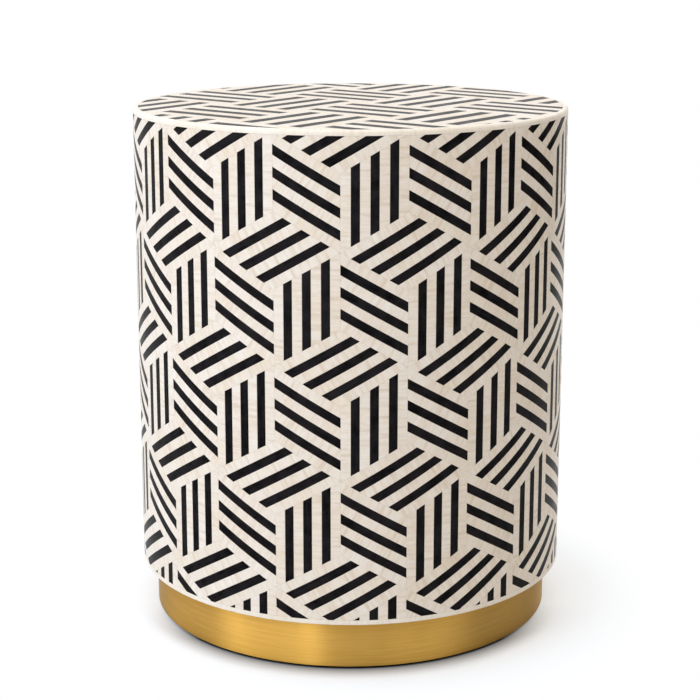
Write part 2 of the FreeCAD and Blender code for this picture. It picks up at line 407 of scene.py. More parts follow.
# Effects that several finishes share

@dataclass(frozen=True)
class Streaks:
    """Fine streaks: how many in a metre along and across them, and their detail."""
    along: float
    across: float
    detail: float = 3.0


@dataclass(frozen=True)
class Blotches:
    """Soft patches: their size, and the noise at which they start and are full."""
    size: float
    start: float = 0.45
    full: float = 0.7


@dataclass(frozen=True)
class Tint:
    """A colour, and the share of it that a full mask lays on."""
    share: float
    colour: Colour


class SharedEffects:
    """Shader node groups for streaks, blotches, tone by piece and worn joints."""
    STREAK_RANGE: ClassVar[Pair] = (0.3, 0.7)
    BLOTCH_DETAIL: ClassVar[float] = 3.0

    def __init__(self) -> None:
        """Build each group once."""
        self.streaks = self.build_streaks()
        self.blotches = self.build_blotches()
        self.tone = self.build_tone()
        self.joints = self.build_joints()

    @staticmethod
    def group(name: str, output: str, *numbers: str) -> GroupTree:
        """Shader group with one number as its output.

        Args:
            name: the group's name.
            output: its output's name.
            numbers: names of the numbers that it takes beside a vector; without any it takes nothing.
        Returns:
            The group, ready for wiring.
        """
        inputs = {"Vector": (VECTOR, None)} if numbers else {}
        inputs |= {label: (FLOAT, 1.0) for label in numbers}
        return GroupTree(name, "ShaderNodeTree", inputs, (output, FLOAT))

    def build_streaks(self) -> Tree:
        """Fine streaks: noise with its own count per metre along X and across it.

        Returns:
            The group.
        """
        group = self.group("fine_streaks", "Streaks", "Along", "Across", "Detail")
        wiring, inside = group.wiring, group.inside
        stretch = wiring.join(inside["Along"], inside["Across"], inside["Across"])
        vector = wiring.vector("MULTIPLY", inside["Vector"], stretch)
        inputs = {"Vector": vector, "Scale": 1.0, "Detail": inside["Detail"]}
        noise = wiring.node("ShaderNodeTexNoise", inputs).outputs[0]
        wiring.feed(group.result, wiring.spread(noise, *self.STREAK_RANGE))
        return group.tree

    def build_blotches(self) -> Tree:
        """Soft patches of a given size, 0 between them and 1 inside.

        Returns:
            The group.
        """
        group = self.group("soft_blotches", "Blotches", "Size", "Start", "Full")
        wiring, inside = group.wiring, group.inside
        count = wiring.math("DIVIDE", 1.0, inside["Size"])
        inputs = {"Vector": inside["Vector"], "Scale": count, "Detail": self.BLOTCH_DETAIL}
        noise = wiring.node("ShaderNodeTexNoise", inputs).outputs[0]
        wiring.feed(group.result, wiring.spread(noise, inside["Start"], inside["Full"]))
        return group.tree

    def build_tone(self) -> Tree:
        """Random tone of each strip or segment, from 0 to 1.

        Returns:
            The group.
        """
        group = self.group("piece_tone", "Tone")
        wiring = group.wiring
        own, copy = (
            wiring.node("ShaderNodeAttribute", attribute_name=name).outputs["Fac"]
            for name in (STRIP_TONE, COPY_TONE)
        )
        wiring.feed(group.result, wiring.math("FRACT", wiring.math("ADD", own, copy)))
        return group.tree

    def build_joints(self) -> Tree:
        """Fine line where a strip meets its neighbours: 1 at its edges and 0 inside.

        Returns:
            The group.
        """
        group = self.group("joint_line", "Joint", "Length", "Width", "Line")
        wiring, inside = group.wiring, group.inside
        along, across, _ = wiring.parts(inside["Vector"])
        to_end = wiring.math("MINIMUM", along, wiring.math("SUBTRACT", inside["Length"], along))
        to_side = wiring.math("MINIMUM", across, wiring.math("SUBTRACT", inside["Width"], across))
        nearest = wiring.math("MINIMUM", to_end, to_side)
        wiring.feed(group.result, wiring.spread(nearest, 0.0, inside["Line"], 1.0, 0.0))
        return group.tree


class Paint(Wiring):
    """Wiring of one material, with its shader and the shared effects at hand."""

    def __init__(self, name: str, effects: SharedEffects, constants: dict[str, Any]) -> None:
        """Make the material.

        Args:
            name: the material's name.
            effects: the shared node groups.
            constants: plain values by the names of the shader's sockets.
        """
        self.material = bpy.data.materials.new(name)
        self.material.use_nodes = True
        super().__init__(self.material.node_tree)
        self.effects = effects
        self.shader = self.node("ShaderNodeBsdfPrincipled", constants)
        self.node("ShaderNodeOutputMaterial", {"Surface": self.shader.outputs[0]})
        self.place = self.node("ShaderNodeTexCoord").outputs["Object"]

    def effect(self, group: Tree, **inputs: Any) -> Socket:
        """Output of a shared effect with this material's values."""
        return self.node("ShaderNodeGroup", inputs, node_tree=group).outputs[0]

    def streaks(self, vector: Socket, size: Streaks) -> Socket:
        """Fine streaks along the vector's X."""
        values = {"Along": size.along, "Across": size.across, "Detail": size.detail}
        return self.effect(self.effects.streaks, Vector=vector, **values)

    def blotches(self, size: Blotches) -> Socket:
        """Soft patches all over the piece."""
        values = {"Size": size.size, "Start": size.start, "Full": size.full}
        return self.effect(self.effects.blotches, Vector=self.place, **values)

    def joints(self, length: float, width: float, line: float) -> Socket:
        """Fine line along the edges of a strip."""
        values = {"Length": length, "Width": width, "Line": line}
        return self.effect(self.effects.joints, Vector=self.strip_map(), **values)

    def tone(self) -> Socket:
        """Random tone of each strip or segment."""
        return self.effect(self.effects.tone)

    def strip_map(self) -> Socket:
        """Place on a strip: along it and across it, in metres."""
        return self.node("ShaderNodeUVMap", uv_map=STRIP_MAP).outputs[0]

    def shifted(self, vector: Socket, share: Socket) -> Socket:
        """Place on a strip moved on by a share, so that no two strips show the same figure."""
        return self.vector("ADD", vector, self.join(share, share))

    def round_map(self) -> Socket:
        """Place on the drum.

        Returns:
            Arc from the front, level and radius, in metres.
        """
        x, y, z = self.parts(self.place)
        square = self.total(self.math("MULTIPLY", x, x), self.math("MULTIPLY", y, y))
        radius = self.math("SQRT", square)
        angle = self.math("ARCTAN2", x, self.math("MULTIPLY", y, -1.0))
        return self.join(self.math("MULTIPLY", angle, radius), z, radius)

    def tinted(self, base: Any, *layers: tuple[Socket, Tint]) -> Socket:
        """Base colour under tints.

        Args:
            base: the base colour.
            layers: each tint with the mask of where it lies, from the lowest up.
        Returns:
            The colour.
        """
        for mask, tint in layers:
            base = self.mix(self.math("MULTIPLY", mask, tint.share), base, tint.colour)
        return base

    def total(self, a: Socket, b: Socket) -> Socket:
        """Sum of two numbers or masks."""
        return self.math("ADD", a, b)

    def rough(self, limits: Pair, *masks: Socket) -> Socket:
        """Roughness between two limits, which grows with one mask or with the sum of two."""
        mask = masks[0] if len(masks) == 1 else self.total(*masks)
        return self.spread(mask, 0.0, len(masks), *limits)

    def surface(self, colour: Socket, roughness: Socket, height: Socket, relief: float) -> None:
        """Feed the shader.

        Args:
            colour: base colour.
            roughness: roughness.
            height: height field that bumps its normal.
            relief: how far a height of 1 stands out.
        """
        bump = self.node("ShaderNodeBump", {"Height": height, "Distance": relief, "Strength": 1.0})
        values = {"Base Color": colour, "Roughness": roughness, "Normal": bump.outputs[0]}
        for name, value in values.items():
            self.feed(self.shader.inputs[name], value)


# Finishes

@dataclass(frozen=True)
class Finish:
    """Looks of a surface, which one material gives."""
    name: str
    SHADER: ClassVar[dict[str, Any]] = {}

    def material(self, effects: SharedEffects) -> Material:
        """Make the material.

        Args:
            effects: the shared node groups.
        Returns:
            The material.
        """
        paint = Paint(self.name, effects, self.SHADER)
        self.coat(paint)
        return paint.material

    def coat(self, paint: Paint) -> None:
        """Wire the looks that vary over the surface."""
        raise NotImplementedError


@dataclass(frozen=True)
class BoneFinish(Finish):
    """Polished bone: ivory, with fine cross lines, warm patches and a tone of its own on each piece."""
    length: float
    width: float
    lean: float = 0.0
    figure: float = 1.0
    pale: Colour = srgb(250, 244, 235)
    warm: Colour = srgb(243, 232, 216)
    blush: Colour = srgb(239, 218, 190)
    line: Colour = srgb(203, 177, 143)
    tone_share: float = 0.5
    patch_share: float = 0.35
    line_share: float = 0.42
    fine_share: float = 0.18
    fleck: Tint = Tint(0.25, line)
    joint: Tint = Tint(0.12, srgb(196, 174, 148))
    line_size: Streaks = Streaks(260.0, 28.0)
    fine_size: Streaks = Streaks(780.0, 90.0)
    patch_size: Blotches = Blotches(0.03)
    fleck_size: Blotches = Blotches(0.006, 0.62, 0.8)
    line_contrast: float = 2.0
    joint_line: float = 0.25 * MM
    roughness: Pair = (0.26, 0.4)
    relief: float = 0.02 * MM
    SHADER: ClassVar[dict[str, Any]] = {"Specular IOR Level": 0.14, "IOR": 1.5}

    def coat(self, paint: Paint) -> None:
        """Wire the looks, with the cross lines square to the strip.

        Args:
            paint: the material's wiring.
        """
        tone = paint.tone()
        along, across, _ = paint.parts(paint.strip_map())
        square = paint.join(paint.math("SUBTRACT", along, paint.math("MULTIPLY", across, self.lean)), across)
        fine = paint.streaks(square, self.fine_size)
        lines = paint.streaks(paint.shifted(square, tone), self.line_size)
        lines = paint.math("POWER", lines, self.line_contrast)
        patches = paint.blotches(self.patch_size)
        joint = paint.joints(self.length, self.width, self.joint_line)
        base = paint.tinted(
            self.pale,
            (tone, Tint(self.tone_share, self.warm)),
            (patches, Tint(self.patch_share * self.figure, self.blush)),
            (lines, Tint(self.line_share * self.figure, self.line)),
            (fine, Tint(self.fine_share * self.figure, self.line)),
            (paint.blotches(self.fleck_size), self.fleck),
            (joint, self.joint),
        )
        rough = paint.rough(self.roughness, lines, patches)
        paint.surface(base, rough, paint.math("SUBTRACT", fine, joint), self.relief)


@dataclass(frozen=True)
class BlackResinFinish(Finish):
    """Polished black resin strips, a little uneven in tone and sheen."""
    length: float
    width: float
    deep: Colour = srgb(3, 3, 4)
    soft: Colour = srgb(48, 45, 47)
    dust: Colour = srgb(62, 58, 56)
    tone: Tint = Tint(0.18, soft)
    cloud: Tint = Tint(0.5, soft)
    grain: Tint = Tint(0.28, soft)
    speck: Tint = Tint(0.35, dust)
    joint: Tint = Tint(0.25, dust)
    grain_size: Streaks = Streaks(45.0, 420.0)
    cloud_size: Blotches = Blotches(0.012, 0.35, 0.75)
    speck_size: Blotches = Blotches(0.0016, 0.66, 0.76)
    joint_line: float = 0.3 * MM
    roughness: Pair = (0.22, 0.4)
    relief: float = 0.012 * MM
    SHADER: ClassVar[dict[str, Any]] = {"Specular IOR Level": 0.02, "IOR": 1.5}

    def coat(self, paint: Paint) -> None:
        """Wire the looks, with the grain along the strip.

        Args:
            paint: the material's wiring.
        """
        tone = paint.tone()
        grain = paint.streaks(paint.shifted(paint.strip_map(), tone), self.grain_size)
        clouds = paint.blotches(self.cloud_size)
        base = paint.tinted(
            self.deep,
            (tone, self.tone),
            (clouds, self.cloud),
            (grain, self.grain),
            (paint.blotches(self.speck_size), self.speck),
            (paint.joints(self.length, self.width, self.joint_line), self.joint),
        )
        rough = paint.rough(self.roughness, grain, clouds)
        paint.surface(base, rough, grain, self.relief)


@dataclass(frozen=True)
class BrassFinish(Finish):
    """Brass sheet brushed round the plinth under a satin lacquer."""
    level: float
    height: float
    light: Colour = srgb(233, 186, 93)
    deep: Colour = srgb(206, 157, 64)
    tarnish: Colour = srgb(140, 102, 48)
    cloud: Tint = Tint(0.1, tarnish)
    worn: Tint = Tint(0.15, tarnish)
    worn_edge: float = 4 * MM
    fine_size: Streaks = Streaks(16.0, 3200.0, 4.0)
    wide_size: Streaks = Streaks(22.0, 1500.0, 2.0)
    cloud_size: Blotches = Blotches(0.05)
    light_range: Pair = (0.3, 1.7)
    rough_range: Pair = (0.2, 1.8)
    roughness: Pair = (0.38, 0.52)
    relief: float = 0.01 * MM
    SHADER: ClassVar[dict[str, Any]] = {
        "Metallic": 1.0,
        "Anisotropic": 1.0,
        "Anisotropic Rotation": 0.25,
        "Specular Tint": (0.35, 0.35, 0.35, 1.0),
        "Coat Weight": 0.3,
        "Coat Roughness": 0.3,
    }

    def coat(self, paint: Paint) -> None:
        """Wire the looks, with the brushing round the axis and wear along both edges.

        Args:
            paint: the material's wiring.
        """
        tangent = paint.node("ShaderNodeTangent", direction_type="RADIAL", axis="Z").outputs[0]
        paint.feed(paint.shader.inputs["Tangent"], tangent)
        around = paint.round_map()
        brushed = paint.total(paint.streaks(around, self.fine_size), paint.streaks(around, self.wide_size))
        _, level, _ = paint.parts(around)
        above = paint.math("SUBTRACT", level, self.level)
        edge = paint.math("MINIMUM", above, paint.math("SUBTRACT", self.height, above))
        base = paint.tinted(
            paint.mix(paint.spread(brushed, *self.light_range), self.deep, self.light),
            (paint.blotches(self.cloud_size), self.cloud),
            (paint.spread(edge, 0.0, self.worn_edge, 1.0, 0.0), self.worn),
        )
        paint.surface(base, paint.spread(brushed, *self.rough_range, *self.roughness), brushed, self.relief)


class PlyLay(Enum):
    """How the plies of a board lie."""
    FLAT = "flat"
    BENT = "bent"


@dataclass(frozen=True)
class PlywoodFinish(Finish):
    """Raw plywood: crossed plies with dark glue lines on its edges and long grain on its faces."""
    lay: PlyLay
    ply: float = 1.5 * MM
    glue_line: float = 0.09
    face: Colour = srgb(214, 180, 136)
    core: Colour = srgb(184, 143, 97)
    grain: Colour = srgb(140, 98, 58)
    figure: Tint = Tint(0.35, core)
    fibre: Tint = Tint(0.3, grain)
    patch: Tint = Tint(0.2, grain)
    glue: Tint = Tint(0.7, srgb(84, 54, 32))
    fibre_size: Streaks = Streaks(12.0, 700.0)
    figure_size: Streaks = Streaks(4.0, 60.0, 2.0)
    patch_size: Blotches = Blotches(0.06)
    roughness: Pair = (0.55, 0.75)
    relief: float = 0.06 * MM
    SHADER: ClassVar[dict[str, Any]] = {"Specular IOR Level": 0.3}

    def coat(self, paint: Paint) -> None:
        """Wire the looks, with every second ply turned.

        Args:
            paint: the material's wiring.
        """
        along, across, depth = paint.parts(paint.place if self.lay is PlyLay.FLAT else paint.round_map())
        layers = paint.math("DIVIDE", depth, self.ply)
        odd = paint.math("FLOORED_MODULO", paint.math("FLOOR", layers), 2.0)
        turned = paint.mix(odd, paint.join(along, across, depth), paint.join(across, along, depth))
        fibres = paint.streaks(turned, self.fibre_size)
        seam = paint.spread(paint.math("PINGPONG", layers, 0.5), 0.0, self.glue_line, 1.0, 0.0)
        base = paint.tinted(
            paint.mix(odd, self.face, self.core),
            (paint.streaks(turned, self.figure_size), self.figure),
            (fibres, self.fibre),
            (paint.blotches(self.patch_size), self.patch),
            (seam, self.glue),
        )
        rough = paint.rough(self.roughness, fibres)
        paint.surface(base, rough, paint.math("SUBTRACT", fibres, seam), self.relief)


@dataclass(frozen=True)
class SoftwoodFinish(Finish):
    """Sawn softwood with its grain and growth rings upright."""
    early: Colour = srgb(212, 172, 122)
    late: Colour = srgb(158, 108, 62)
    fibre: Tint = Tint(0.35, late)
    saw: Tint = Tint(0.2, srgb(126, 84, 48))
    ring: float = 4 * MM
    ring_sway: float = 5.0
    ring_contrast: float = 2.5
    sway_size: Streaks = Streaks(3.0, 25.0, 2.0)
    fibre_size: Streaks = Streaks(14.0, 900.0)
    saw_size: Streaks = Streaks(8.0, 420.0, 1.0)
    roughness: Pair = (0.6, 0.8)
    relief: float = 0.08 * MM
    SHADER: ClassVar[dict[str, Any]] = {"Specular IOR Level": 0.25}

    def coat(self, paint: Paint) -> None:
        """Wire the looks, with swaying rings, fibres along them and saw cuts across.

        Args:
            paint: the material's wiring.
        """
        x, y, z = paint.parts(paint.place)
        upright = paint.join(z, x, y)
        sway = paint.math("MULTIPLY", paint.streaks(upright, self.sway_size), self.ring_sway)
        depth = paint.total(paint.math("DIVIDE", paint.total(x, y), self.ring), sway)
        rings = paint.math("POWER", paint.math("FRACT", depth), self.ring_contrast)
        fibres = paint.streaks(upright, self.fibre_size)
        cuts = paint.streaks(paint.join(x, z, y), self.saw_size)
        base = paint.tinted(paint.mix(rings, self.early, self.late), (fibres, self.fibre), (cuts, self.saw))
        paint.surface(base, paint.rough(self.roughness, fibres), paint.total(fibres, cuts), self.relief)


@dataclass(frozen=True)
class PaintedBoardFinish(Finish):
    """Matt black paint rolled on a board, a little dusty and scuffed."""
    fresh: Colour = srgb(34, 33, 33)
    faded: Tint = Tint(0.6, srgb(58, 56, 54))
    scuff: Tint = Tint(0.5, srgb(104, 98, 90))
    stipple_size: Blotches = Blotches(0.0014, 0.3, 0.7)
    dust_size: Blotches = Blotches(0.08, 0.4, 0.75)
    scuff_size: Streaks = Streaks(16.0, 320.0, 1.0)
    scuff_start: float = 0.86
    roughness: Pair = (0.5, 0.75)
    relief: float = 0.05 * MM
    SHADER: ClassVar[dict[str, Any]] = {"Specular IOR Level": 0.35}

    def coat(self, paint: Paint) -> None:
        """Wire the looks, with scuffs where the dust lies.

        Args:
            paint: the material's wiring.
        """
        stipple, dust = paint.blotches(self.stipple_size), paint.blotches(self.dust_size)
        scuffs = paint.spread(paint.streaks(paint.place, self.scuff_size), self.scuff_start, 1.0)
        marks = paint.math("MULTIPLY", scuffs, dust)
        base = paint.tinted(self.fresh, (dust, self.faded), (marks, self.scuff))
        rough = paint.rough(self.roughness, stipple, dust)
        paint.surface(base, rough, stipple, self.relief)


@dataclass(frozen=True)
class SteelFinish(Finish):
    """Zinc-plated steel, faintly yellow and dulled in patches."""
    bright: Colour = srgb(198, 194, 182)
    dull: Colour = srgb(150, 144, 128)
    patch_size: Blotches = Blotches(0.002, 0.35, 0.7)
    drawn_size: Streaks = Streaks(900.0, 2400.0)
    roughness: Pair = (0.25, 0.5)
    relief: float = 0.01 * MM
    SHADER: ClassVar[dict[str, Any]] = {"Metallic": 1.0}

    def coat(self, paint: Paint) -> None:
        """Wire the looks, with fine drawing marks.

        Args:
            paint: the material's wiring.
        """
        patches = paint.blotches(self.patch_size)
        drawn = paint.streaks(paint.round_map(), self.drawn_size)
        rough = paint.rough(self.roughness, patches, drawn)
        paint.surface(paint.mix(patches, self.bright, self.dull), rough, drawn, self.relief)


@dataclass(frozen=True)
class FeltFinish(Finish):
    """Dark pressed felt with loose fibres."""
    dark: Colour = srgb(52, 49, 46)
    light: Colour = srgb(104, 98, 92)
    fibre_size: Streaks = Streaks(350.0, 2600.0)
    clump_size: Blotches = Blotches(0.003)
    roughness: Pair = (0.85, 1.0)
    relief: float = 0.15 * MM
    SHADER: ClassVar[dict[str, Any]] = {
        "Specular IOR Level": 0.1,
        "Sheen Weight": 0.4,
        "Sheen Roughness": 0.5,
    }

    def coat(self, paint: Paint) -> None:
        """Wire the looks, with fibres both ways.

        Args:
            paint: the material's wiring.
        """
        x, y, z = paint.parts(paint.place)
        both_ways = (paint.streaks(way, self.fibre_size) for way in (paint.place, paint.join(y, x, z)))
        fibres = paint.math("MAXIMUM", *both_ways)
        clumps = paint.blotches(self.clump_size)
        base = paint.mix(paint.math("MULTIPLY", fibres, clumps), self.dark, self.light)
        paint.surface(base, paint.rough(self.roughness, clumps), fibres, self.relief)


# Pieces

def new_piece(name: str, form: Form) -> Piece:
    """Object of a form, as the form lies.

    Args:
        name: the piece's name.
        form: its mesh in construction, which is freed.
    Returns:
        The object.
    """
    mesh = bpy.data.meshes.new(name)
    form.to_mesh(mesh)
    form.free()
    mesh.shade_smooth()
    piece = bpy.data.objects.new(name, mesh)
    bpy.context.scene.collection.objects.link(piece)
    return piece


def seat_piece(piece: Piece, slot: str, *nodes: str) -> None:
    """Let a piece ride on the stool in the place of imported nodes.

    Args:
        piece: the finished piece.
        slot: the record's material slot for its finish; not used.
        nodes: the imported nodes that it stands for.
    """
    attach(piece, BODY)
    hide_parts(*nodes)
    LOG.info("%s: %d faces, stands for %s", piece.name, len(piece.data.polygons), ", ".join(nodes))


def dress_node(name: str, material: Material) -> None:
    """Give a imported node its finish.

    Args:
        name: the node's name.
        material: the finish.
    """
    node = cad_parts[name]
    if not node.material_slots:
        node.data.materials.append(material)
    for slot in node.material_slots:
        slot.material = material
    LOG.info("%s: packed node in %s", name, material.name)


def swept_segment(profile: Sequence[Pair], start: float, end: float, steps: int) -> Form:
    """Closed segment swept round the drum's axis from a section.

    Args:
        profile: radius and level of each point of the section, anticlockwise with the radius to the right.
        start: first angle in radians from the front.
        end: last angle.
        steps: how many steps the sweep takes.
    Returns:
        The segment, with its strip map along the arc and round the section.
    """
    form = bmesh.new()
    strip_map = form.loops.layers.uv.new(STRIP_MAP)
    outer = max(radius for radius, _ in profile)
    angles = [start + (end - start) * i / steps for i in range(steps + 1)]
    rings = [[form.verts.new(polar(radius, a, z)) for radius, z in profile] for a in angles]
    girth = [0.0]
    for (r0, z0), (r1, z1) in zip(profile, [*profile[1:], profile[0]]):
        girth.append(girth[-1] + math.hypot(r1 - r0, z1 - z0))
    for i in range(steps):
        for j in range(len(profile)):
            k = (j + 1) % len(profile)
            face = form.faces.new((rings[i][j], rings[i + 1][j], rings[i + 1][k], rings[i][k]))
            arcs = [(angles[n] - start) * outer for n in (i, i + 1, i + 1, i)]
            turns = (girth[j], girth[j], girth[j + 1], girth[j + 1])
            for loop, arc, turn in zip(face.loops, arcs, turns):
                loop[strip_map].uv = (arc, turn)
    for ring, order in ((rings[0], 1), (rings[-1], -1)):
        cap = form.faces.new(ring[::order])
        for loop in cap.loops:
            loop[strip_map].uv = (0.0, 0.0)
    bmesh.ops.recalc_face_normals(form, faces=form.faces)
    return form


def lathed(section: Sequence[Pair], steps: int) -> Form:
    """Closed round form turned about its own upright axis.

    Args:
        section: radius and level of each point, from the axis out and back to it.
        steps: how many sides it has.
    Returns:
        The form, with its poles closed.
    """
    form = bmesh.new()
    verts = [form.verts.new((radius, 0.0, z)) for radius, z in section]
    edges = [form.edges.new(pair) for pair in zip(verts, verts[1:])]
    turn = {"axis": (0, 0, 1), "cent": (0, 0, 0), "angle": math.tau, "steps": steps}
    bmesh.ops.spin(form, geom=[*verts, *edges], use_merge=True, **turn)
    bmesh.ops.remove_doubles(form, verts=form.verts, dist=MERGE_DISTANCE)
    bmesh.ops.recalc_face_normals(form, faces=form.faces)
    return form


def cut(form: Form, point: Vector, outward: Vector, clear: bool = True) -> None:
    """Cut a form along a plane, and clear away what lies beyond unless it is only scored."""
    whole = [*form.verts, *form.edges, *form.faces]
    bmesh.ops.bisect_plane(form, geom=whole, plane_co=point, plane_no=outward, clear_outer=clear)


# Strip patterns

class StripKind(Enum):
    """What a strip is made of, with its material slot."""
    BONE = "bone"
    BLACK = "black_resin"


class BlockLay(Enum):
    """How the strips of a block run."""
    RISING = "rising"
    FALLING = "falling"
    STRAIGHT = "straight"


@dataclass(frozen=True)
class Block:
    """One block in the plane of its pattern."""
    corner: Vector
    along: Vector
    across: Vector


@dataclass(frozen=True)
class StripPattern:
    """Blocks that are cut into strips, bone at their edges and black between."""
    side: float
    depth: float
    strips_per_block: int = 7
    black_to_bone_width: float = 0.885
    joint_gap: float = 0.03 * MM
    eased_edge: float = 0.05 * MM
    widths_to_ease: float = 4.0
    smallest_chip: float = 1.0 * MM * MM

    @property
    def lean(self) -> float:
        """How far a strip's end leans along the strip for each metre across it."""
        return math.sqrt((self.side / self.depth) ** 2 - 1.0)

    def width(self, kind: StripKind) -> float:
        """Width of a strip.

        Args:
            kind: bone or black.
        Returns:
            The width, with half a joint gap at each side.
        """
        black = self.strips_per_block // 2
        bone = self.depth / (self.strips_per_block - black + black * self.black_to_bone_width)
        return bone if kind is StripKind.BONE else bone * self.black_to_bone_width

    def starts(self, kind: StripKind) -> list[float]:
        """Where strips begin across a block.

        Args:
            kind: bone or black.
        Returns:
            Their starts, from the block's first edge.
        """
        pair = self.width(StripKind.BONE) + self.width(StripKind.BLACK)
        lead = 0.0 if kind is StripKind.BONE else self.width(StripKind.BONE)
        count = self.strips_per_block // 2 + (kind is StripKind.BONE)
        return [lead + pair * i for i in range(count)]

    def sheet(self, kind: StripKind, blocks: Iterable[Block]) -> Form:
        """Flat sheet of the strips of one kind, with their strip map.

        Args:
            kind: bone or black.
            blocks: the blocks that they lie in.
        Returns:
            One face for each strip.
        """
        form = bmesh.new()
        strip_map = form.loops.layers.uv.new(STRIP_MAP)
        slant = self.side / self.depth
        width, inset = self.width(kind), self.joint_gap / 2
        low, high = inset * slant, self.side - inset * slant
        steps = [(low, inset), (high, inset), (high, width - inset), (low, width - inset)]
        for block in blocks:
            for start in self.starts(kind):
                points = [
                    block.corner + block.along * a + block.across * (start + b) * slant
                    for a, b in steps
                ]
                face = form.faces.new([form.verts.new(p.to_3d()) for p in points])
                for loop, place in zip(face.loops, steps):
                    loop[strip_map].uv = place
        return form

    def ease(self, form: Form) -> None:
        """Drop loose chips and ease the edges of the strips that are left.

        Args:
            form: the sheet of strips, which is changed.
        """
        chips = [f for f in form.faces if f.calc_area() < self.smallest_chip]
        bmesh.ops.delete(form, geom=chips, context="FACES")
        least = self.widths_to_ease * self.eased_edge
        wide = [f for f in form.faces if 2 * f.calc_area() / f.calc_perimeter() > least]
        outside = {v for f in wide for v in f.verts}
        bmesh.ops.inset_individual(form, faces=wide, thickness=self.eased_edge, use_even_offset=True)
        for vert in outside:
            vert.co.z -= self.eased_edge


@dataclass(frozen=True)
class TumblingBlocks(StripPattern):
    """Tiling of rhombic blocks in three lays, whose edges run at angles in degrees."""
    EDGES: ClassVar[dict[BlockLay, Pair]] = {
        BlockLay.RISING: (30.0, 150.0),
        BlockLay.FALLING: (150.0, 270.0),
        BlockLay.STRAIGHT: (270.0, 30.0),
    }

    @classmethod
    def of_repeat(cls, repeat: float) -> "TumblingBlocks":
        """Tiling that repeats sideways at a step."""
        return cls(repeat / math.sqrt(3), repeat / 2)

    def blocks(self, lay: BlockLay, low: float, high: float, origin: float) -> list[Block]:
        """Blocks of one lay in one sideways repeat of a span.

        Args:
            lay: how their strips run.
            low: the span's lower end.
            high: its upper end.
            origin: level of one row of block corners.
        Returns:
            A block for each row that reaches into the span.
        """
        along, across = (Vector((math.cos(a), math.sin(a))) for a in map(math.radians, self.EDGES[lay]))
        pitch = 1.5 * self.side
        first = math.floor((low - origin - self.side) / pitch)
        last = math.ceil((high - origin + self.side) / pitch)
        return [
            Block(Vector((self.depth * (row % 2), origin + pitch * row)), along, across)
            for row in range(first, last + 1)
        ]


@dataclass(frozen=True)
class BlockWeave(StripPattern):
    """Weave of square blocks, laid in turn along and across."""
    LAYS: ClassVar[tuple[BlockLay, ...]] = (BlockLay.RISING, BlockLay.FALLING)

    def blocks(self, lay: BlockLay, reach: float) -> list[Block]:
        """Blocks of one lay within a reach of the weave's own corner, in its own axes.

        Args:
            lay: how their strips run.
            reach: how far the weave goes to each side.
        Returns:
            Every second block, row by row.
        """
        count = math.ceil(reach / self.side)
        rising = lay is BlockLay.RISING
        along, across = ((1.0, 0.0), (0.0, 1.0)) if rising else ((0.0, 1.0), (-1.0, 0.0))
        corners = [
            Vector((self.side * (column + (not rising)), self.side * row))
            for row in range(-count, count)
            for column in range(-count, count)
            if ((column + row) % 2 == 0) is rising
        ]
        return [Block(corner, Vector(along), Vector(across)) for corner in corners]


# Sub-assemblies

